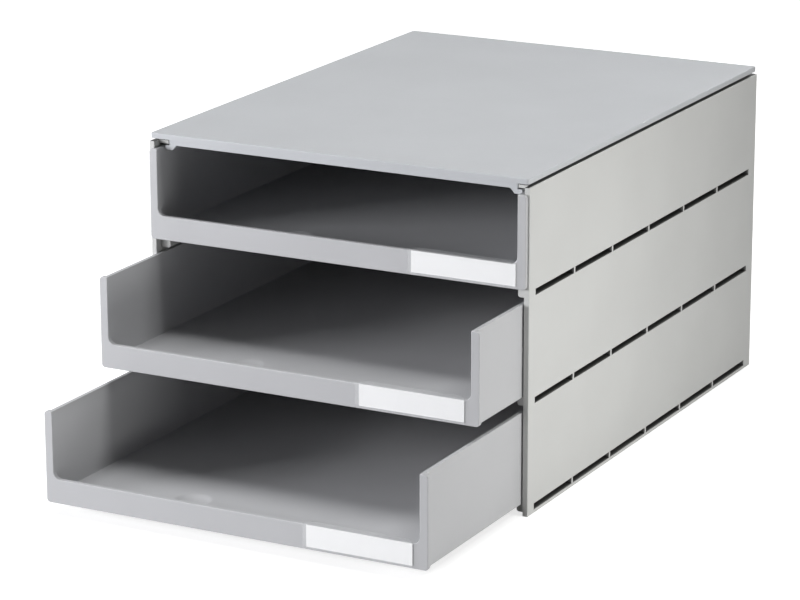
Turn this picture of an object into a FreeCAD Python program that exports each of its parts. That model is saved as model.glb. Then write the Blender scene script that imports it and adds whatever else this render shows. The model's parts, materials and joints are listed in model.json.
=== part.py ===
import FreeCAD, Part
import os
import Sketcher

# Letter tray stack: a casing of clip-together moulded panels with three
# U-fronted paper drawers on channel rails.
# +X to the right seen from the front, +Y to the back, +Z up, mm.
# X = 0 is the middle of the casing and z = 0 the table it stands on.

doc = FreeCAD.newDocument("letter_tray_stack")
sheet = doc.addObject("Spreadsheet::Sheet", "sizes")

# Every driving dimension, written once. A text that starts with = is worked
# out from the ones above it.
SIZES = [
    # casing
    ("case_w", "250"),
    ("case_d", "335"),
    ("wall_t", "3.2"),
    ("front_inset", "5.5"),
    ("edge_round", "0.5"),
    # drawer levels
    ("levels", "3"),
    ("tray_low", "7.1"),
    ("front_h", "55.2"),
    ("level_gap", "9.15"),
    ("head_gap", "4"),
    ("rail_low", "0.4"),
    ("rail_play", "0.25"),
    ("rail_reach", "6.4"),
    ("rail_round", "1.5"),
    ("rail_web", "1.7"),
    # slots of the hollow rails, seen from outside
    ("slot_low", "2"),
    ("slot_height", "3.75"),
    ("slot_first", "8.4"),
    ("slot_last", "8.6"),
    ("slots", "6"),
    ("slot_bridge", "1.8"),
    # lip along the top of each wall
    ("lip_reach", "6.6"),
    ("lip_t", "2"),
    # lip at the rear of each wall, and the panel it holds
    ("rear_lip_reach", "4"),
    ("rear_lip_t", "2"),
    ("back_t", "2.1"),
    ("rail_end_gap", "0.3"),
    ("panel_play", "0.2"),
    # top panel
    ("top_t", "3.2"),
    ("top_inset", "0.8"),
    ("top_round", "1.5"),
    ("top_gap", "1.8"),
    ("hook_inset", "5.5"),
    ("hook_play", "0.45"),
    ("hook_t", "2.3"),
    ("hook_grip", "2.65"),
    ("hook_foot_t", "2.75"),
    ("hook_foot_gap", "1"),
    ("band_h", "4.65"),
    ("band_t", "2.4"),
    ("band_slant", "2.6"),
    ("standoff_t", "1.6"),
    ("standoff_side", "4.2"),
    ("standoff_inset", "16"),
    # bottom panel
    ("base_low", "0.8"),
    ("base_t", "2.2"),
    ("base_inset", "14"),
    ("tab_w", "12"),
    ("tab_reach", "1.3"),
    ("tab_root", "5"),
    ("tab_low", "2.5"),
    ("tab_t", "1.6"),
    ("tab_play", "0.2"),
    # drawers
    ("front_side", "1.2"),
    ("front_t", "2.6"),
    ("bar_h", "14.6"),
    ("mouth_round", "4.5"),
    ("front_round", "2.2"),
    ("front_soft", "0.5"),
    ("tray_play", "1"),
    ("tray_side_t", "2.3"),
    ("tray_back_gap", "2.9"),
    ("tray_rear_h", "48"),
    ("floor_up", "3.4"),
    ("floor_t", "2"),
    ("rib_t", "1.5"),
    ("rib_up", "1"),
    ("rib_end", "12"),
    ("ribs", "4"),
    ("dish_left", "43"),
    ("dish_back", "26.4"),
    ("dish_radius", "11.8"),
    ("dish_depth", "2.6"),
    ("dish_t", "1.4"),
    # stops: a lug on the tray runs up to a nib on the wall
    ("stop_inset", "72"),
    ("stop_length", "4"),
    ("lug_h", "1.3"),
    ("lug_inset", "6"),
    ("stop_play", "0.4"),
    # how far each drawer stands open
    ("open_top", "0"),
    ("open_middle", "57.5"),
    ("open_bottom", "119.1"),
    # label windows and their card slips
    ("label_w", "66.4"),
    ("label_t", "0.4"),
    ("label_low", "1.8"),
    ("label_h", "12.85"),
    ("label_top_side", "0.8"),
    ("label_middle_side", "3.9"),
    ("label_bottom_side", "4.1"),
    ("window_t", "1"),
    ("window_right", "0.6"),
    ("window_left", "1.8"),
    ("window_out", "1.6"),
    ("window_low", "0.8"),
    ("window_grip", "3.2"),
    ("hook_short", "3.2"),
    ("window_play", "0.2"),
    # worked out: heights
    ("level_pitch", "=front_h + level_gap"),
    ("wall_top", "=tray_low + (levels - 1) * level_pitch + front_h + head_gap"),
    ("top_low", "=wall_top + top_gap"),
    ("case_top", "=top_low + top_t"),
    ("rail_top", "=tray_low - rail_play"),
    ("lip_low", "=wall_top - lip_t"),
    ("hook_foot_high", "=lip_low - hook_foot_gap"),
    ("hook_foot_low", "=hook_foot_high - hook_foot_t"),
    ("band_low", "=top_low - band_h"),
    ("base_top", "=base_low + base_t"),
    ("label_high", "=label_low + label_h"),
    # worked out: across
    ("wall_out", "=case_w / 2"),
    ("wall_in", "=wall_out - wall_t"),
    ("rail_in", "=wall_in - rail_reach"),
    ("tray_half", "=wall_in - tray_play"),
    ("tray_in", "=tray_half - tray_side_t"),
    ("front_half", "=wall_out - front_side"),
    ("hook_out", "=wall_in - lip_reach - hook_play"),
    ("hook_in", "=hook_out - hook_t"),
    ("hook_foot_out", "=hook_out + hook_grip"),
    ("standoff_out", "=wall_in - standoff_side"),
    ("rib_pitch", "=2 * tray_in / (ribs + 1)"),
    # worked out: lengthwise
    ("case_front", "=-(case_d - front_t - open_bottom - window_out) / 2"),
    ("case_back", "=case_front + case_d"),
    ("back_rear", "=case_back - rear_lip_t"),
    ("back_front", "=back_rear - back_t"),
    ("rail_end", "=back_front - rail_end_gap"),
    ("tray_end", "=back_front - tray_back_gap"),
    ("stop_y", "=case_front + stop_inset"),
    ("slot_pitch", "=(case_d - slot_first - slot_last) / slots"),
    ("tab_y", "=case_front + slot_first + (slot_pitch - slot_bridge - tab_w) / 2"),
]

for row, (alias, text) in enumerate(SIZES, start=1):
    sheet.set("A%d" % row, alias)
    sheet.set("B%d" % row, text)
    sheet.setAlias("B%d" % row, alias)
doc.recompute()


def named(text):
    """Put the sheet's name before each alias of an expression."""
    words = text.replace("(", " ( ").replace(")", " ) ").split()
    aliases = dict(SIZES)
    return " ".join("sizes." + word if word in aliases else word for word in words)


def new_body(label):
    body = doc.addObject("PartDesign::Body", label)
    body.Label = label
    return body


def origin_part(body, role):
    for item in body.Origin.OriginFeatures:
        if item.Role == role:
            return item


def profile(body, name, plane, at, points):
    """Closed outline on an origin plane of the body, moved `at` along its third axis.

    XY outlines hold (x, y), XZ outlines (x, z) and YZ outlines (y, z).
    """
    sketch = body.newObject("Sketcher::SketchObject", name)
    sketch.AttachmentSupport = (origin_part(body, plane + "_Plane"), [""])
    sketch.MapMode = "FlatFace"
    turned = "-1 * ( %s )" if plane == "XZ" else "%s"
    sketch.setExpression(".AttachmentOffset.Base.z", turned % named(at))
    corners = [(named(first), named(second)) for first, second in points]
    spots = [
        FreeCAD.Vector(float(sheet.evalExpression(first)), float(sheet.evalExpression(second)), 0)
        for first, second in corners
    ]
    for index, spot in enumerate(spots):
        sketch.addGeometry(Part.LineSegment(spot, spots[(index + 1) % len(spots)]))
    for index, (first, second) in enumerate(corners):
        after = (index + 1) % len(spots)
        sketch.addConstraint(Sketcher.Constraint("Coincident", index, 2, after, 1))
        across = sketch.addConstraint(Sketcher.Constraint("DistanceX", index, 1, spots[index].x))
        sketch.setExpression("Constraints[%d]" % across, first)
        up = sketch.addConstraint(Sketcher.Constraint("DistanceY", index, 1, spots[index].y))
        sketch.setExpression("Constraints[%d]" % up, second)
    return sketch


def add(body, name, plane, at, length, points):
    """Extrude an outline from `at` towards the plus side of its third axis."""
    pad = body.newObject("PartDesign::Pad", name)
    pad.Profile = profile(body, name + "_outline", plane, at, points)
    pad.setExpression("Length", named(length))
    pad.Reversed = plane == "XZ"
    doc.recompute()
    return pad


def cut(body, name, plane, at, length, points):
    """Remove the same kind of block."""
    pocket = body.newObject("PartDesign::Pocket", name)
    pocket.Profile = profile(body, name + "_outline", plane, at, points)
    pocket.setExpression("Length", named(length))
    pocket.Reversed = plane != "XZ"
    doc.recompute()
    return pocket


def box(x_low, x_high, y_low, y_high):
    return [(x_low, y_low), (x_high, y_low), (x_high, y_high), (x_low, y_high)]


def repeat(body, name, features, axis, step, count):
    """Row of features along one axis."""
    row = body.newObject("PartDesign::LinearPattern", name)
    row.Originals = features
    row.Direction = (origin_part(body, axis + "_Axis"), [""])
    row.Mode = "Spacing"
    row.setExpression("Occurrences", named(count))
    row.setExpression("Offset", named(step))
    body.Tip = row
    doc.recompute()
    return row


def grid(body, name, features, steps, counts):
    """Rows along Y repeated along Z."""
    block = repeat(body, name, features, "Y", steps[0], counts[0])
    block.Direction2 = (origin_part(body, "Z_Axis"), [""])
    block.Mode2 = "Spacing"
    block.setExpression("Occurrences2", named(counts[1]))
    block.setExpression("Offset2", named(steps[1]))
    doc.recompute()
    return block


def mirror(body, name, features):
    """The same features on the other side of X = 0."""
    twin = body.newObject("PartDesign::Mirrored", name)
    twin.Originals = features
    twin.MirrorPlane = (origin_part(body, "YZ_Plane"), [""])
    body.Tip = twin
    doc.recompute()
    return twin


def size(alias):
    return float(sheet.get(alias))


def near(value, *targets):
    return any(abs(value - target) < 0.01 for target in targets)


def soften(body, name, radius, chosen):
    """Round the edges of the body's tip whose two ends pass the test."""
    tip = body.Tip
    edges = []
    for number, edge in enumerate(tip.Shape.Edges, start=1):
        start = edge.Vertexes[0].Point
        end = edge.Vertexes[-1].Point
        if chosen(start, end):
            edges.append("Edge%d" % number)
    fillet = body.newObject("PartDesign::Fillet", name)
    fillet.Base = (tip, edges)
    fillet.setExpression("Radius", named(radius))
    body.Tip = fillet
    doc.recompute()
    return fillet


def side_wall(label, side):
    """Moulded side panel; side is 1 for the right-hand one and -1 for its mirror image."""
    body = new_body(label)

    def across(text):
        return text if side > 0 else "-1 * ( %s )" % text

    def sideways(low, high):
        """Ends of a span in X as its low end and its length."""
        return across(low) if side > 0 else across(high)

    panel_yz = box("case_front", "case_back", "0", "wall_top")
    add(body, "panel", "YZ", sideways("wall_in", "wall_out"), "wall_t", panel_yz)
    outer = side * size("wall_out")
    front = size("case_front")
    back = size("case_back")
    top = size("wall_top")

    def outer_rim(start, end):
        if not (near(start.x, outer) and near(end.x, outer)):
            return False
        upright = near(start.y, front, back) and near(start.y, end.y)
        level = near(start.z, top) and near(end.z, top)
        return upright or level

    soften(body, "outer_rim", "edge_round", outer_rim)
    lip_xz = box(across("wall_in"), across("wall_in - lip_reach"), "lip_low", "wall_top")
    add(body, "top_lip", "XZ", "case_front + front_inset", "case_d - front_inset", lip_xz)
    rear_xz = box(across("wall_in"), across("wall_in - rear_lip_reach"), "0", "lip_low")
    add(body, "rear_lip", "XZ", "back_rear", "rear_lip_t", rear_xz)
    rail_xz = box(across("wall_in"), across("rail_in"), "rail_low", "rail_top")
    rail_length = "rail_end - case_front - front_inset"
    rail = add(body, "rail", "XZ", "case_front + front_inset", rail_length, rail_xz)
    repeat(body, "rails", [rail], "Z", "level_pitch", "levels")
    inner = side * size("rail_in")
    bottoms = [size("rail_low") + level * size("level_pitch") for level in range(3)]

    def rail_corner(start, end):
        inside = near(start.x, inner) and near(end.x, inner)
        return inside and near(start.z, *bottoms) and near(start.z, end.z)

    soften(body, "rail_corners", "rail_round", rail_corner)
    slot_yz = box(
        "case_front + slot_first",
        "case_front + slot_first + slot_pitch - slot_bridge",
        "slot_low",
        "slot_low + slot_height",
    )
    slot_length = "wall_out - rail_in - rail_web"
    slot = cut(body, "slot", "YZ", sideways("rail_in + rail_web", "wall_out"), slot_length, slot_yz)
    grid(body, "slots", [slot], ("slot_pitch", "level_pitch"), ("slots", "levels"))
    window_yz = box(
        "tab_y - tab_play",
        "tab_y + tab_w + tab_play",
        "tab_low - tab_play",
        "tab_low + tab_t + tab_play",
    )
    window = cut(body, "tab_window", "YZ", sideways("rail_in", "rail_in + rail_web"), "rail_web", window_yz)
    repeat(body, "tab_windows", [window], "Y", "2 * slot_pitch", "slots / 2")
    nib_xz = box(
        across("tray_in"),
        across("wall_in"),
        "tray_low + front_h + stop_play",
        "rail_low + level_pitch",
    )
    nib = add(body, "stop_nib", "XZ", "stop_y - stop_length", "stop_length", nib_xz)
    repeat(body, "stop_nibs", [nib], "Z", "level_pitch", "levels - 1")
    top_nib_xz = box(
        across("tray_in"),
        across("wall_in"),
        "tray_low + 2 * level_pitch + front_h + stop_play",
        "lip_low",
    )
    add(body, "top_stop_nib", "XZ", "stop_y - stop_length", "stop_length", top_nib_xz)
    return body


def top_panel():
    """Flat plate with a front and a rear band and two long hooks under it."""
    body = new_body("top_panel")
    half = "wall_out - top_inset"
    plate_xy = box("-1 * ( %s )" % half, half, "case_front", "case_back")
    add(body, "plate", "XY", "top_low", "top_t", plate_xy)
    corner_x = size("wall_out") - size("top_inset")
    front = size("case_front")
    back = size("case_back")

    def upright(start, end):
        return near(start.x, end.x) and near(start.y, end.y)

    soften(body, "corners", "top_round", upright)

    def top_rim(start, end):
        return near(start.z, size("case_top")) and near(end.z, size("case_top"))

    soften(body, "top_rim", "front_soft", top_rim)
    hook_xz = [
        ("hook_in", "top_low"),
        ("hook_in", "hook_foot_low"),
        ("hook_foot_out - edge_round", "hook_foot_low"),
        ("hook_foot_out", "hook_foot_low + edge_round"),
        ("hook_foot_out", "hook_foot_high"),
        ("hook_out", "hook_foot_high"),
        ("hook_out", "top_low"),
    ]
    hook_start = "case_front + hook_inset"
    hook = add(body, "hook", "XZ", hook_start, "rail_end - case_front - hook_inset", hook_xz)
    mirror(body, "hooks", [hook])
    band_xz = [
        ("-1 * hook_in", "top_low"),
        ("-1 * hook_in", "hook_foot_low"),
        ("-1 * ( hook_in - band_slant )", "band_low"),
        ("hook_in - band_slant", "band_low"),
        ("hook_in", "hook_foot_low"),
        ("hook_in", "top_low"),
    ]
    add(body, "front_band", "XZ", hook_start, "band_t", band_xz)
    add(body, "rear_band", "XZ", "rail_end - band_t", "band_t", band_xz)
    standoff_xz = box("standoff_out - standoff_t", "standoff_out", "wall_top", "top_low")
    standoff = add(
        body,
        "standoff",
        "XZ",
        "case_front + standoff_inset",
        "case_d - 2 * standoff_inset",
        standoff_xz,
    )
    mirror(body, "standoffs", [standoff])
    return body


def bottom_panel():
    """Tie panel between the lowest rails; its tabs snap into the rail hollows."""
    body = new_body("bottom_panel")
    edge = "rail_in - panel_play"
    panel_xy = box("-1 * ( %s )" % edge, edge, "case_front + base_inset", "back_rear")
    add(body, "panel", "XY", "base_low", "base_t", panel_xy)
    tab_xz = [
        ("rail_in - tab_root", "tab_low"),
        ("rail_in + rail_web + tab_reach", "tab_low"),
        ("rail_in + rail_web + tab_reach", "tab_low + tab_t / 2"),
        ("rail_in + rail_web + tab_reach - tab_t / 2", "tab_low + tab_t"),
        ("rail_in - tab_root", "tab_low + tab_t"),
    ]
    for step in range(3):
        place = "tab_y + %d * slot_pitch" % (2 * step)
        tab = add(body, "tab%d" % step, "XZ", place, "tab_w", tab_xz)
        mirror(body, "far_tab%d" % step, [tab])
    return body


def back_panel():
    """Thin panel held between the rail ends and the rear lips."""
    body = new_body("back_panel")
    edge = "wall_in - panel_play"
    outline = box("-1 * ( %s )" % edge, edge, "base_top", "lip_low - panel_play")
    add(body, "panel", "XZ", "back_front", "back_t", outline)
    return body


def drawer(label, level, opened):
    """One moulding: U-shaped front, side walls, low rear wall and raised dished floor."""
    body = new_body(label)
    low = "tray_low + %d * level_pitch" % level
    face = "case_front - front_t - %s" % opened
    inside = "case_front - %s" % opened
    rear = "tray_end - %s" % opened
    front_xz = [
        ("-1 * front_half", low),
        ("front_half", low),
        ("front_half", low + " + front_h"),
        ("tray_in", low + " + front_h"),
        ("tray_in", low + " + bar_h"),
        ("-1 * tray_in", low + " + bar_h"),
        ("-1 * tray_in", low + " + front_h"),
        ("-1 * front_half", low + " + front_h"),
    ]
    add(body, "front", "XZ", face, "front_t", front_xz)
    half = size("front_half")
    mouth = size("tray_in")
    bar_top = size("tray_low") + level * size("level_pitch") + size("bar_h")
    front_y = size("case_front") - size("front_t") - size(opened)

    def lengthwise(start, end):
        return near(start.x, end.x) and near(start.z, end.z)

    def mouth_corner(start, end):
        return lengthwise(start, end) and near(abs(start.x), mouth) and near(start.z, bar_top)

    def outer_corner(start, end):
        return lengthwise(start, end) and near(abs(start.x), half)

    def front_rim(start, end):
        return near(start.y, front_y) and near(end.y, front_y)

    soften(body, "mouth_corners", "mouth_round", mouth_corner)
    soften(body, "outer_corners", "front_round", outer_corner)
    soften(body, "front_rim", "front_soft", front_rim)
    side_xy = box("tray_in", "tray_half", inside, rear)
    side = add(body, "side", "XY", low, "front_h", side_xy)
    floor_xy = box("-1 * tray_in", "tray_in", inside, rear)
    add(body, "floor", "XY", low + " + floor_up", "floor_t", floor_xy)
    rear_xy = box("-1 * tray_in", "tray_in", rear + " - tray_side_t", rear)
    add(body, "rear_wall", "XY", low, "tray_rear_h", rear_xy)
    lug_xy = box("tray_in", "tray_half", rear + " - lug_inset", rear + " - lug_inset + stop_length")
    lug = add(body, "stop_lug", "XY", low + " + front_h", "lug_h", lug_xy)
    mirror(body, "far_side", [side, lug])
    rib_x = "-1 * tray_in + rib_pitch - rib_t / 2"
    rib_xy = box(rib_x, rib_x + " + rib_t", inside + " + rib_end", rear + " - rib_end")
    rib = add(body, "rib", "XY", low + " + rib_up", "floor_up - rib_up", rib_xy)
    repeat(body, "ribs", [rib], "X", "rib_pitch", "ribs")
    dish(body, "dish_shell", low, inside, "dish_t", False)
    dish(body, "dish_hollow", low, inside, "", True)
    return body


def dish(body, name, low, inside, grown, hollow):
    """Round finger dish in the floor, turned about its own upright axis."""
    sketch = body.newObject("Sketcher::SketchObject", name + "_outline")
    sketch.AttachmentSupport = (origin_part(body, "YZ_Plane"), [""])
    sketch.MapMode = "FlatFace"
    sketch.setExpression(".AttachmentOffset.Base.x", named(inside + " + dish_back"))
    sketch.setExpression(".AttachmentOffset.Base.y", named(low + " + floor_up + floor_t"))
    sketch.setExpression(".AttachmentOffset.Base.z", named("-1 * dish_left"))
    extra = size(grown) if grown else 0
    rim = size("dish_radius") + extra
    deep = size("dish_depth") + extra
    round_r = (rim * rim + deep * deep) / (2 * deep)
    centre = FreeCAD.Vector(0, round_r - deep, 0)
    middle = FreeCAD.Vector(rim, 0, 0)
    bottom = FreeCAD.Vector(0, -deep, 0)
    circle = Part.Circle(centre, FreeCAD.Vector(0, 0, 1), round_r)
    sketch.addGeometry(Part.LineSegment(FreeCAD.Vector(0, 0, 0), middle))
    sketch.addGeometry(Part.ArcOfCircle(circle, circle.parameter(bottom), circle.parameter(middle)))
    sketch.addGeometry(Part.LineSegment(bottom, FreeCAD.Vector(0, 0, 0)))
    sketch.addConstraint(Sketcher.Constraint("Coincident", 0, 1, -1, 1))
    sketch.addConstraint(Sketcher.Constraint("Horizontal", 0))
    sketch.addConstraint(Sketcher.Constraint("Coincident", 0, 2, 1, 2))
    sketch.addConstraint(Sketcher.Constraint("Coincident", 1, 1, 2, 1))
    sketch.addConstraint(Sketcher.Constraint("Coincident", 2, 2, 0, 1))
    sketch.addConstraint(Sketcher.Constraint("Vertical", 2))
    sketch.addConstraint(Sketcher.Constraint("PointOnObject", 1, 3, -2))
    more = " + " + grown if grown else ""
    reach = sketch.addConstraint(Sketcher.Constraint("DistanceX", 0, 1, 0, 2, rim))
    sketch.setExpression("Constraints[%d]" % reach, named("dish_radius" + more))
    drop = sketch.addConstraint(Sketcher.Constraint("DistanceY", 2, 1, 2, 2, deep))
    sketch.setExpression("Constraints[%d]" % drop, named("dish_depth" + more))
    kind = "PartDesign::Groove" if hollow else "PartDesign::Revolution"
    turn = body.newObject(kind, name)
    turn.Profile = sketch
    turn.ReferenceAxis = (sketch, ["V_Axis"])
    turn.Angle = 360
    body.Tip = turn
    doc.recompute()


def label_window(label, level, opened, left):
    """Clear holder hooked over the bar: pane, top flange and a lip behind the bar."""
    body = new_body(label)
    face = "case_front - front_t - %s" % opened
    low = "tray_low + %d * level_pitch" % level
    pane_in = face + " - window_out + window_t"
    bar_rear = "case_front - %s + window_play" % opened
    roof = low + " + label_high + window_play"
    pane_yz = [
        (face + " - window_out", low + " + window_low"),
        (face, low + " + window_low"),
        (face, low + " + label_low - window_play"),
        (pane_in, low + " + label_low - window_play"),
        (pane_in, roof + " + window_t"),
        (face + " - window_out", roof + " + window_t"),
    ]
    wide = "label_w + window_left + window_right"
    add(body, "pane", "YZ", left + " - window_left", wide, pane_yz)
    hook_yz = [
        (face + " - window_out", roof),
        (bar_rear, roof),
        (bar_rear, low + " + bar_h - window_grip"),
        (bar_rear + " + window_t", low + " + bar_h - window_grip"),
        (bar_rear + " + window_t", roof + " + window_t"),
        (face + " - window_out", roof + " + window_t"),
    ]
    hook_start = left + " - window_left + hook_short"
    add(body, "hook", "YZ", hook_start, wide + " - 2 * hook_short", hook_yz)
    return body


def label_insert(label, level, opened, left):
    """Blank card slip between the bar and the pane."""
    body = new_body(label)
    low = "tray_low + %d * level_pitch" % level
    back = "case_front - front_t - %s - window_play / 4" % opened
    slip_xz = box(left, left + " + label_w", low + " + label_low", low + " + label_high")
    add(body, "slip", "XZ", back + " - label_t", "label_t", slip_xz)
    return body


side_wall("left_side_wall", -1)
side_wall("right_side_wall", 1)
top_panel()
bottom_panel()
back_panel()
for level, place in enumerate(("bottom", "middle", "top")):
    drawer(place + "_drawer", level, "open_" + place)
    label_from = "tray_in - label_%s_side - label_w" % place
    label_window(place + "_label_window", level, "open_" + place, label_from)
    label_insert(place + "_label_insert", level, "open_" + place, label_from)

doc.recompute()
for thing in doc.Objects:
    if "Invalid" in thing.State or "Error" in thing.State:
        raise RuntimeError("%s did not build: %s" % (thing.Label, thing.State))

os.makedirs("parts", exist_ok=True)
for thing in doc.Objects:
    if thing.TypeId != "PartDesign::Body":
        continue
    if thing.Shape.isNull() or not thing.Shape.isValid():
        raise RuntimeError("%s has no sound shape" % thing.Label)
    thing.Shape.exportStep("parts/%s.step" % thing.Label)
    b = thing.Shape.BoundBox
    print("%-22s %d solid %7.1f cm3  x %.2f..%.2f y %.2f..%.2f z %.2f..%.2f" % (
        thing.Label, len(thing.Shape.Solids), thing.Shape.Volume / 1000,
        b.XMin, b.XMax, b.YMin, b.YMax, b.ZMin, b.ZMax))
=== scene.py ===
import json
import math

import bmesh
import bpy
from mathutils import Matrix, Vector

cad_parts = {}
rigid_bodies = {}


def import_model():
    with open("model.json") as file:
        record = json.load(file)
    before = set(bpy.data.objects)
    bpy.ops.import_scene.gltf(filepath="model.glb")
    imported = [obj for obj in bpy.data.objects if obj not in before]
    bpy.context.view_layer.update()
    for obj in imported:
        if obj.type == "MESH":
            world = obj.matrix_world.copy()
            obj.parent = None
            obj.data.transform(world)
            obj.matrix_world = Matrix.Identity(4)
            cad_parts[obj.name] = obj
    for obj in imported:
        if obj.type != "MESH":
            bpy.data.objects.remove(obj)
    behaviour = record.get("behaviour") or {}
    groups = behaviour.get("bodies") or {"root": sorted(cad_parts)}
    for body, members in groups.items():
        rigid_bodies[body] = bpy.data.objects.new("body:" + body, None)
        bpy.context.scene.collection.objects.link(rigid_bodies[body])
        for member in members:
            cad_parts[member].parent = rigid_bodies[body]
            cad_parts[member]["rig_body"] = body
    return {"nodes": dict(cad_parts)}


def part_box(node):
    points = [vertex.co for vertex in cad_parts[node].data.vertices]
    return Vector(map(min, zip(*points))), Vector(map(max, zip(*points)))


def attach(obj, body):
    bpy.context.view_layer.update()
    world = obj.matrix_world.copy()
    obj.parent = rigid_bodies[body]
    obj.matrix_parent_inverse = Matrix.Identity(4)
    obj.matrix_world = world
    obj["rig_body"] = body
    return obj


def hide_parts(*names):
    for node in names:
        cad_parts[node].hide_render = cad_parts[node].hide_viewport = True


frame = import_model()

bl_info = {
    "name": "Letter Tray Stack",
    "version": (1, 0, 0),
    "blender": (4, 5, 0),
    "location": "3D View > Sidebar > Letter Tray",
    "description": "Finishes a casing with three paper drawers in moulded grey plastic",
    "category": "Object",
}

NODES = frame["nodes"]
LEVELS = ("bottom", "middle", "top")

# Lengths are in metres and angles in radians.

# Making a moulding from a CAD piece
MERGE_GAP = 0.000002
FLAT_ANGLE = math.radians(0.5)
SHARP_ANGLE = math.radians(50.0)
SMOOTH_ANGLE = math.radians(35.0)
EDGE_ROOM = 2.2  # length that the edges next to a softened one need, in widths of it

# Moulded plastic, with painted shade in the walls' slots and on their lips' tops under the top panel
GLOSS_CHANGE = 0.06  # how far the roughness strays from its mean
# Painted shade on the walls: how far off the far side of a slot may be, the lip's top layer, and its
# outer strip left without shade.
SHADE_REACH = 0.012  # how far off the far side of a slot may be
LIP_SKIN = 0.00015  # depth below the walls' top that counts as a lip's upper face
LIP_MARGIN = 0.0006  # outer strip of a lip that keeps its own colour

# Card
FIBRE_STRETCH = (0.35, 1.0, 1.0)  # the fibres lie along X

# Stage
FLOOR_SIZE = 16.0
FOCUS_BACK = 0.165  # point that the camera turns about, from the casing's front
FOCUS_UP = 0.1
SENSOR_WIDTH_MM = 36.0
NEAREST_SEEN = 0.05
FARTHEST_SEEN = 50.0
WHITE = (1.0, 1.0, 1.0)
FRONT_WHITE = (0.985, 0.99, 1.02)
TOP_WHITE = (0.985, 0.995, 1.01)
SIDE_WHITE = (1.0, 1.0, 0.985)


# ---------------------------------------------------------------- settings


class LetterTrayFinish(bpy.types.PropertyGroup):
    """Colours and surface of the mouldings."""

    wall_colour: bpy.props.FloatVectorProperty(
        name="Wall colour",
        description="Plastic of the side, bottom and back panels",
        subtype="COLOR",
        size=3,
        min=0.0,
        max=1.0,
        default=(0.565, 0.567, 0.553),
    )
    top_colour: bpy.props.FloatVectorProperty(
        name="Top colour",
        description="Plastic of the top panel",
        subtype="COLOR",
        size=3,
        min=0.0,
        max=1.0,
        default=(0.5, 0.513, 0.53),
    )
    drawer_colour: bpy.props.FloatVectorProperty(
        name="Drawer colour",
        description="Plastic of the three drawers",
        subtype="COLOR",
        size=3,
        min=0.0,
        max=1.0,
        default=(0.488, 0.49, 0.5),
    )
    card_colour: bpy.props.FloatVectorProperty(
        name="Card colour",
        description="Blank slips behind the label windows",
        subtype="COLOR",
        size=3,
        min=0.0,
        max=1.0,
        default=(0.965, 0.965, 0.96),
    )
    # Painted shade: this near-black colour stands in for the shade in the walls' slots and on the
    # lips' tops under the top panel; the mould leaves no such tone.
    slot_shade_colour: bpy.props.FloatVectorProperty(
        name="Slot colour",
        description="Dull tone that the mould's cores leave inside the slots of the walls",
        subtype="COLOR",
        size=3,
        min=0.0,
        max=1.0,
        default=(0.06, 0.06, 0.058),
    )
    roughness: bpy.props.FloatProperty(
        name="Roughness",
        description="Mean roughness of the moulded surfaces",
        subtype="FACTOR",
        min=0.0,
        max=1.0,
        default=0.5,
    )
    grain: bpy.props.FloatProperty(
        name="Grain",
        description="Size of the fine texture that the mould leaves",
        subtype="DISTANCE",
        unit="LENGTH",
        min=0.0001,
        max=0.005,
        default=0.0007,
    )


class LetterTrayShape(bpy.types.PropertyGroup):
    """Softening of the moulded edges."""

    edge_width: bpy.props.FloatProperty(
        name="Edge width",
        description="How wide the light-catching edge of a moulding is",
        subtype="DISTANCE",
        unit="LENGTH",
        min=0.0001,
        max=0.001,
        default=0.00035,
    )
    edge_steps: bpy.props.IntProperty(
        name="Edge steps",
        description="Faces across one softened edge",
        min=1,
        max=6,
        default=2,
    )


class LetterTrayStage(bpy.types.PropertyGroup):
    """Camera, lamps and floor."""

    azimuth: bpy.props.FloatProperty(
        name="Azimuth",
        description="Camera's angle round the casing from straight in front",
        subtype="ANGLE",
        unit="ROTATION",
        default=math.radians(27.895),
    )
    elevation: bpy.props.FloatProperty(
        name="Elevation",
        description="Camera's angle above the table",
        subtype="ANGLE",
        unit="ROTATION",
        default=math.radians(16.121),
    )
    roll: bpy.props.FloatProperty(
        name="Roll",
        description="Turn of the camera about its own line of sight",
        subtype="ANGLE",
        unit="ROTATION",
        default=math.radians(-0.149),
    )
    distance: bpy.props.FloatProperty(
        name="Distance",
        description="From the camera to the middle of the casing",
        subtype="DISTANCE",
        unit="LENGTH",
        default=2.1417,
    )
    slide_right: bpy.props.FloatProperty(
        name="Slide right",
        description="Camera moved along its own right side",
        subtype="DISTANCE",
        unit="LENGTH",
        default=-0.03954,
    )
    slide_up: bpy.props.FloatProperty(
        name="Slide up",
        description="Camera moved along its own upright",
        subtype="DISTANCE",
        unit="LENGTH",
        default=-0.02788,
    )
    lens: bpy.props.FloatProperty(
        name="Lens",
        description="Focal length in millimetres on a 36 mm wide sensor",
        subtype="DISTANCE_CAMERA",
        unit="CAMERA",
        default=154.47,
    )
    sky: bpy.props.FloatProperty(
        name="Sky",
        description="Strength of the even light from all round",
        min=0.0,
        max=1.0,
        default=0.02,
    )


# ---------------------------------------------------------------- materials


def new_material(name):
    """Empty node material with one Principled shader, and its tree and shader."""
    material = bpy.data.materials.new(name)
    material.use_nodes = True
    tree = material.node_tree
    tree.nodes.clear()
    output = tree.nodes.new("ShaderNodeOutputMaterial")
    shader = tree.nodes.new("ShaderNodeBsdfPrincipled")
    tree.links.new(shader.outputs["BSDF"], output.inputs["Surface"])
    return material, tree, shader


def object_coordinates(tree):
    """Place on the piece, in metres."""
    return tree.nodes.new("ShaderNodeTexCoord").outputs["Object"]


def noise(tree, coordinates, size, detail=2.0):
    """Noise whose blotches are about `size` metres across."""
    node = tree.nodes.new("ShaderNodeTexNoise")
    node.inputs["Scale"].default_value = 1.0 / size
    node.inputs["Detail"].default_value = detail
    tree.links.new(coordinates, node.inputs["Vector"])
    return node.outputs["Fac"]


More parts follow.
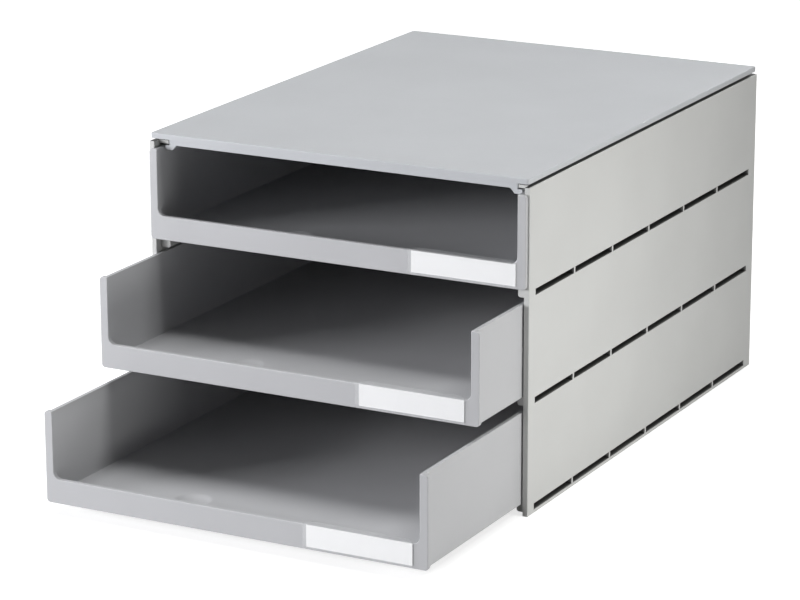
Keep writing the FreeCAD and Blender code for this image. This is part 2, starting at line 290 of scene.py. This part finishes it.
def remap(tree, value, start, end, low, high):
    """Map the range start..end of a value to low..high, held level past both ends."""
    node = tree.nodes.new("ShaderNodeMapRange")
    node.inputs["From Min"].default_value = start
    node.inputs["From Max"].default_value = end
    node.inputs["To Min"].default_value = low
    node.inputs["To Max"].default_value = high
    tree.links.new(value, node.inputs["Value"])
    return node.outputs["Result"]


def spread(tree, value, low=0.0, high=1.0):
    """Map the useful middle of a noise to the range low..high."""
    return remap(tree, value, start=0.3, end=0.7, low=low, high=high)


def calculate(tree, operation, first, second):
    """Math node of a value and either another value or a number."""
    node = tree.nodes.new("ShaderNodeMath")
    node.operation = operation
    tree.links.new(first, node.inputs[0])
    if isinstance(second, float):
        node.inputs[1].default_value = second
    else:
        tree.links.new(second, node.inputs[1])
    return node.outputs[0]


def tint(tree, value, dark, light):
    """Colour from a dark shade at 0 to a light one at 1, which may come from another node."""
    node = tree.nodes.new("ShaderNodeMix")
    node.data_type = "RGBA"
    node.inputs["A"].default_value = (*dark, 1.0)
    if isinstance(light, bpy.types.NodeSocket):
        tree.links.new(light, node.inputs["B"])
    else:
        node.inputs["B"].default_value = (*light, 1.0)
    tree.links.new(value, node.inputs["Factor"])
    return node.outputs["Result"]


def shades(colour, darker, lighter):
    """Darker and lighter shade of a colour."""
    dark = [channel * darker for channel in colour]
    light = [min(1.0, channel * lighter) for channel in colour]
    return dark, light


def bump(tree, shader, height, strength, distance):
    """Relief on the shader's normal from a height between 0 and 1."""
    node = tree.nodes.new("ShaderNodeBump")
    node.inputs["Strength"].default_value = strength
    node.inputs["Distance"].default_value = distance
    tree.links.new(height, node.inputs["Height"])
    tree.links.new(node.outputs["Normal"], shader.inputs["Normal"])


def hollow(tree, reach):
    """Mask for painted shade: near 0 deep in a narrow hollow or inner corner of the piece itself, 1 on
    its open faces.
    """
    closed = tree.nodes.new("ShaderNodeAmbientOcclusion")
    closed.only_local = True
    closed.samples = 16
    closed.inputs["Distance"].default_value = reach
    return remap(tree, closed.outputs["AO"], start=0.32, end=0.68, low=0.0, high=1.0)


def uncovered(tree, coordinates):
    """Mask for painted shade: 0 on the upper faces of the walls' lips, which the top panel covers and
    shades, else 1.
    """
    wall_out, _, wall_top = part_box("right_side_wall")[1]
    place = tree.nodes.new("ShaderNodeSeparateXYZ")
    tree.links.new(coordinates, place.inputs["Vector"])
    across = calculate(tree, "ABSOLUTE", place.outputs["X"], 0.0)
    lower = calculate(tree, "LESS_THAN", place.outputs["Z"], wall_top - LIP_SKIN)
    outer = calculate(tree, "GREATER_THAN", across, wall_out - LIP_MARGIN)
    return calculate(tree, "MAXIMUM", lower, outer)


def moulded_plastic(name, colour, finish, with_painted_shade=False):
    """Light grey moulded plastic with a fine spark-eroded texture, with painted shade in its slots and
    on its lips' tops if asked for.
    """
    material, tree, shader = new_material(name)
    coordinates = object_coordinates(tree)
    cloud = noise(tree, coordinates, size=0.06, detail=3.0)
    grain = noise(tree, coordinates, size=finish.grain, detail=3.0)
    dark, light = shades(colour, darker=0.975, lighter=1.02)
    surface = tint(tree, spread(tree, cloud), dark, light)
    # Painted shade: the slot colour goes into narrow hollows and onto the lips' tops under the top
    # panel, where shade falls.
    if with_painted_shade:
        unshaded = calculate(tree, "MULTIPLY", hollow(tree, SHADE_REACH), uncovered(tree, coordinates))
        surface = tint(tree, unshaded, finish.slot_shade_colour, surface)
    tree.links.new(surface, shader.inputs["Base Color"])
    smoothest = finish.roughness - GLOSS_CHANGE
    roughest = finish.roughness + GLOSS_CHANGE
    rough = spread(tree, grain, low=smoothest, high=roughest)
    tree.links.new(rough, shader.inputs["Roughness"])
    shader.inputs["IOR"].default_value = 1.52
    shader.inputs["Specular IOR Level"].default_value = 0.35
    bump(tree, shader, grain, strength=0.25, distance=0.00006)
    return material


def label_card(colour):
    """Uncoated white card with short fibres."""
    material, tree, shader = new_material("label_card")
    stretch = tree.nodes.new("ShaderNodeMapping")
    stretch.inputs["Scale"].default_value = FIBRE_STRETCH
    tree.links.new(object_coordinates(tree), stretch.inputs["Vector"])
    fibre = noise(tree, stretch.outputs["Vector"], size=0.0006, detail=4.0)
    dark, light = shades(colour, darker=0.97, lighter=1.03)
    surface = tint(tree, spread(tree, fibre), dark, light)
    tree.links.new(surface, shader.inputs["Base Color"])
    rough = spread(tree, fibre, low=0.78, high=0.9)
    tree.links.new(rough, shader.inputs["Roughness"])
    bump(tree, shader, fibre, strength=0.3, distance=0.00004)
    return material


def clear_plastic():
    """Polished clear plastic, thin enough to show the card unchanged."""
    material, tree, shader = new_material("clear_plastic")
    ripple = noise(tree, object_coordinates(tree), size=0.012)
    surface = tint(tree, spread(tree, ripple), dark=(0.9, 0.91, 0.92), light=(0.96, 0.965, 0.97))
    tree.links.new(surface, shader.inputs["Base Color"])
    rough = spread(tree, ripple, low=0.06, high=0.14)
    tree.links.new(rough, shader.inputs["Roughness"])
    shader.inputs["Alpha"].default_value = 0.08
    shader.inputs["IOR"].default_value = 1.55
    bump(tree, shader, ripple, strength=0.15, distance=0.0002)
    return material


# ---------------------------------------------------------------- pieces


def deselect():
    """Leave edit mode and select nothing."""
    if bpy.context.object and bpy.context.object.mode != "OBJECT":
        bpy.ops.object.mode_set(mode="OBJECT")
    bpy.ops.object.select_all(action="DESELECT")


def body_name(node):
    """Body that a CAD piece rides on."""
    return NODES[node]["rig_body"]


def weigh_sharp_edges(mesh, width):
    """Give full bevel weight to the sharp edges whose neighbours leave room for a softened one."""
    solid = bmesh.from_edit_mesh(mesh)
    weight = solid.edges.layers.float.new("bevel_weight_edge")
    for edge in solid.edges:
        neighbours = [other for corner in edge.verts for other in corner.link_edges]
        room = min(other.calc_length() for other in neighbours)
        if edge.calc_face_angle() > SHARP_ANGLE and room > EDGE_ROOM * width:
            edge[weight] = 1.0
    bmesh.update_edit_mesh(mesh)


def moulding(node, material, shape):
    """Copy of a CAD piece with merged faces and softened edges, which stands for it."""
    deselect()
    source = NODES[node]
    copy = source.copy()
    copy.data = source.data.copy()
    copy.name = node + "_moulded"
    copy.parent = None
    copy.matrix_world = Matrix.Identity(4)
    # Without the CAD piece's own marks, the copy is a new piece to the frame.
    for key in list(copy.keys()):
        del copy[key]
    bpy.context.scene.collection.objects.link(copy)
    bpy.context.view_layer.objects.active = copy
    copy.select_set(True)
    if copy.data.has_custom_normals:
        bpy.ops.mesh.customdata_custom_splitnormals_clear()
    bpy.ops.object.mode_set(mode="EDIT")
    bpy.ops.mesh.select_all(action="SELECT")
    bpy.ops.mesh.remove_doubles(threshold=MERGE_GAP)
    bpy.ops.mesh.dissolve_limited(angle_limit=FLAT_ANGLE)
    weigh_sharp_edges(copy.data, shape.edge_width)
    bpy.ops.object.mode_set(mode="OBJECT")
    soft = copy.modifiers.new("soft_edges", "BEVEL")
    soft.width = shape.edge_width
    soft.segments = shape.edge_steps
    soft.limit_method = "WEIGHT"
    soft.use_clamp_overlap = True
    bpy.ops.object.modifier_apply(modifier=soft.name)
    bpy.ops.object.shade_smooth_by_angle(angle=SMOOTH_ANGLE)
    flat = copy.modifiers.new("flat_faces", "WEIGHTED_NORMAL")
    flat.keep_sharp = True
    bpy.ops.object.modifier_apply(modifier=flat.name)
    copy.data.materials.clear()
    copy.data.materials.append(material)
    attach(copy, body_name(node))
    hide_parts(node)
    deselect()
    return copy


class LETTERTRAY_OT_casing(bpy.types.Operator):
    """Finish the side walls, the top, the bottom and the back panel"""

    bl_idname = "lettertray.casing"
    bl_label = "Casing"
    bl_options = {"REGISTER", "UNDO"}

    def execute(self, context):
        finish = context.scene.letter_tray_finish
        shape = context.scene.letter_tray_shape
        # The walls get painted shade in their slots and on their lips' tops.
        wall = moulded_plastic("wall_plastic", finish.wall_colour, finish, with_painted_shade=True)
        top = moulded_plastic("top_plastic", finish.top_colour, finish)
        for node in ("left_side_wall", "right_side_wall", "bottom_panel", "back_panel"):
            moulding(node, wall, shape)
        moulding("top_panel", top, shape)
        return {"FINISHED"}


class LETTERTRAY_OT_drawers(bpy.types.Operator):
    """Finish the three drawers, each one moulding"""

    bl_idname = "lettertray.drawers"
    bl_label = "Drawers"
    bl_options = {"REGISTER", "UNDO"}

    def execute(self, context):
        finish = context.scene.letter_tray_finish
        shape = context.scene.letter_tray_shape
        plastic = moulded_plastic("drawer_plastic", finish.drawer_colour, finish)
        for level in LEVELS:
            moulding(level + "_drawer", plastic, shape)
        return {"FINISHED"}


class LETTERTRAY_OT_labels(bpy.types.Operator):
    """Finish the clear label windows and the blank slips behind them"""

    bl_idname = "lettertray.labels"
    bl_label = "Labels"
    bl_options = {"REGISTER", "UNDO"}

    def execute(self, context):
        finish = context.scene.letter_tray_finish
        shape = context.scene.letter_tray_shape
        clear = clear_plastic()
        card = label_card(finish.card_colour)
        for level in LEVELS:
            moulding(level + "_label_window", clear, shape)
            slip = NODES[level + "_label_insert"]
            slip.data.materials.clear()
            slip.data.materials.append(card)
        return {"FINISHED"}


# ---------------------------------------------------------------- stage


def eye_gloss_or_glass(tree):
    """1 for a ray from the eye, off a glossy surface or through glass, else 0."""
    path = tree.nodes.new("ShaderNodeLightPath")
    either = calculate(tree, "MAXIMUM", path.outputs["Is Camera Ray"], path.outputs["Is Glossy Ray"])
    return calculate(tree, "MAXIMUM", either, path.outputs["Is Transmission Ray"])


def white_for_eye(tree, shader, coordinates):
    """Make the floor paler to the eye alone: pale near the middle and white far out."""
    radius = tree.nodes.new("ShaderNodeVectorMath")
    radius.operation = "LENGTH"
    tree.links.new(coordinates, radius.inputs[0])
    seen = remap(tree, radius.outputs["Value"], start=0.5, end=1.8, low=0.72, high=1.0)
    glow = calculate(tree, "MULTIPLY", eye_gloss_or_glass(tree), seen)
    shader.inputs["Emission Color"].default_value = (*WHITE, 1.0)
    tree.links.new(glow, shader.inputs["Emission Strength"])


def lay_floor():
    """Pale matt floor, which isn't part of the object."""
    bpy.ops.mesh.primitive_plane_add(size=FLOOR_SIZE, location=(0.0, 0.0, 0.0))
    floor = bpy.context.object
    floor.name = "floor"
    material, tree, shader = new_material("pale_floor")
    coordinates = object_coordinates(tree)
    cloud = noise(tree, coordinates, size=0.4)
    surface = tint(tree, spread(tree, cloud), dark=(0.6, 0.6, 0.6), light=(0.62, 0.62, 0.62))
    tree.links.new(surface, shader.inputs["Base Color"])
    shader.inputs["Roughness"].default_value = 0.9
    shader.inputs["Specular IOR Level"].default_value = 0.0
    white_for_eye(tree, shader, coordinates)
    floor.data.materials.append(material)


def lamp(name, place, target, width, height, watts, colour, beam=math.pi):
    """Soft rectangular lamp aimed at the target, whose beam opens over an angle."""
    bpy.ops.object.light_add(type="AREA", location=place)
    light = bpy.context.object
    light.name = name
    light.data.shape = "RECTANGLE"
    light.data.size = width
    light.data.size_y = height
    light.data.energy = watts
    light.data.color = colour
    light.data.spread = beam
    light.rotation_mode = "QUATERNION"
    light.rotation_quaternion = (Vector(target) - light.location).to_track_quat("-Z", "Y")


def hang_lamps():
    """Light the walls from the right, the fronts from the left, and the top and the back."""
    lamp(
        "low_side_softbox",
        place=(0.72, -0.08, 0.13),
        target=(0.12, -0.08, 0.11),
        width=0.2,
        height=0.1,
        watts=0.65,
        colour=SIDE_WHITE,
        beam=math.radians(100.0),
    )
    lamp(
        "high_side_softbox",
        place=(0.75, -0.06, 1.1),
        target=(0.12, -0.08, 0.12),
        width=0.3,
        height=0.3,
        watts=1.1,
        colour=SIDE_WHITE,
        beam=math.radians(100.0),
    )
    lamp(
        "front_left_softbox",
        place=(-1.22, -1.15, 0.42),
        target=(0.0, -0.12, 0.1),
        width=0.7,
        height=0.4,
        watts=25.0,
        colour=FRONT_WHITE,
    )
    lamp(
        "front_softbox",
        place=(-0.7, -1.6, 0.55),
        target=(0.0, -0.1, 0.1),
        width=0.9,
        height=0.5,
        watts=4.0,
        colour=FRONT_WHITE,
    )
    lamp(
        "overhead_softbox",
        place=(-0.12, 0.05, 2.1),
        target=(0.0, 0.05, 0.1),
        width=1.1,
        height=1.1,
        watts=20.0,
        colour=TOP_WHITE,
    )
    lamp(
        "rear_softbox",
        place=(0.0, 2.2, 0.45),
        target=(0.0, 0.1, 0.1),
        width=0.4,
        height=0.7,
        watts=2.6,
        colour=WHITE,
        beam=math.radians(60.0),
    )


def light_sky(scene, strength):
    """Faint even light from all round, and plain white behind the object for the eye."""
    world = scene.world or bpy.data.worlds.new("sky")
    scene.world = world
    world.use_nodes = True
    tree = world.node_tree
    tree.nodes.clear()
    output = tree.nodes.new("ShaderNodeOutputWorld")
    soft = tree.nodes.new("ShaderNodeBackground")
    soft.inputs["Color"].default_value = (*WHITE, 1.0)
    soft.inputs["Strength"].default_value = strength
    seen = tree.nodes.new("ShaderNodeBackground")
    seen.inputs["Color"].default_value = (*WHITE, 1.0)
    seen.inputs["Strength"].default_value = 1.0
    mix = tree.nodes.new("ShaderNodeMixShader")
    tree.links.new(eye_gloss_or_glass(tree), mix.inputs[0])
    tree.links.new(soft.outputs[0], mix.inputs[1])
    tree.links.new(seen.outputs[0], mix.inputs[2])
    tree.links.new(mix.outputs[0], output.inputs["Surface"])


def place_camera(scene, stage):
    """Camera in front of the casing, to the right of it and a little above."""
    bpy.ops.object.camera_add()
    camera = bpy.context.object
    camera.name = "camera"
    back = Vector(
        (
            math.sin(stage.azimuth) * math.cos(stage.elevation),
            -math.cos(stage.azimuth) * math.cos(stage.elevation),
            math.sin(stage.elevation),
        )
    )
    right = (-back).cross(Vector((0.0, 0.0, 1.0))).normalized()
    up = right.cross(-back)
    right, up = (
        math.cos(stage.roll) * right + math.sin(stage.roll) * up,
        math.cos(stage.roll) * up - math.sin(stage.roll) * right,
    )
    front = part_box("right_side_wall")[0].y
    focus = Vector((0.0, front + FOCUS_BACK, FOCUS_UP))
    place = focus + back * stage.distance + right * stage.slide_right + up * stage.slide_up
    turn = Matrix((right, up, back)).transposed()
    camera.matrix_world = Matrix.Translation(place) @ turn.to_4x4()
    camera.data.sensor_width = SENSOR_WIDTH_MM
    camera.data.lens = stage.lens
    camera.data.clip_start = NEAREST_SEEN
    camera.data.clip_end = FARTHEST_SEEN
    scene.camera = camera


class LETTERTRAY_OT_stage(bpy.types.Operator):
    """Set up the pale floor, the soft lamps, the sky and the camera"""

    bl_idname = "lettertray.stage"
    bl_label = "Stage"
    bl_options = {"REGISTER", "UNDO"}

    def execute(self, context):
        scene = context.scene
        stage = scene.letter_tray_stage
        deselect()
        lay_floor()
        hang_lamps()
        light_sky(scene, stage.sky)
        place_camera(scene, stage)
        scene.view_settings.view_transform = "Standard"
        return {"FINISHED"}


class LETTERTRAY_PT_panel(bpy.types.Panel):
    """Settings and steps of the letter tray stack"""

    bl_idname = "LETTERTRAY_PT_panel"
    bl_label = "Letter Tray"
    bl_space_type = "VIEW_3D"
    bl_region_type = "UI"
    bl_category = "Letter Tray"

    def draw(self, context):
        layout = self.layout
        groups = (
            (context.scene.letter_tray_finish, "Finish"),
            (context.scene.letter_tray_shape, "Edges"),
            (context.scene.letter_tray_stage, "Stage"),
        )
        for group, title in groups:
            column = layout.box().column()
            column.label(text=title)
            for name in group.__annotations__:
                column.prop(group, name)
        for step in STEPS:
            layout.operator(step.bl_idname)


STEPS = (
    LETTERTRAY_OT_casing,
    LETTERTRAY_OT_drawers,
    LETTERTRAY_OT_labels,
    LETTERTRAY_OT_stage,
)
CLASSES = (LetterTrayFinish, LetterTrayShape, LetterTrayStage) + STEPS + (LETTERTRAY_PT_panel,)


def register():
    for item in CLASSES:
        bpy.utils.register_class(item)
    bpy.types.Scene.letter_tray_finish = bpy.props.PointerProperty(type=LetterTrayFinish)
    bpy.types.Scene.letter_tray_shape = bpy.props.PointerProperty(type=LetterTrayShape)
    bpy.types.Scene.letter_tray_stage = bpy.props.PointerProperty(type=LetterTrayStage)


def unregister():
    del bpy.types.Scene.letter_tray_stage
    del bpy.types.Scene.letter_tray_shape
    del bpy.types.Scene.letter_tray_finish
    for item in reversed(CLASSES):
        bpy.utils.unregister_class(item)


def main():
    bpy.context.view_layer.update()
    register()
    bpy.ops.lettertray.casing()
    bpy.ops.lettertray.drawers()
    bpy.ops.lettertray.labels()
    bpy.ops.lettertray.stage()


if __name__ == "__main__":
    main()
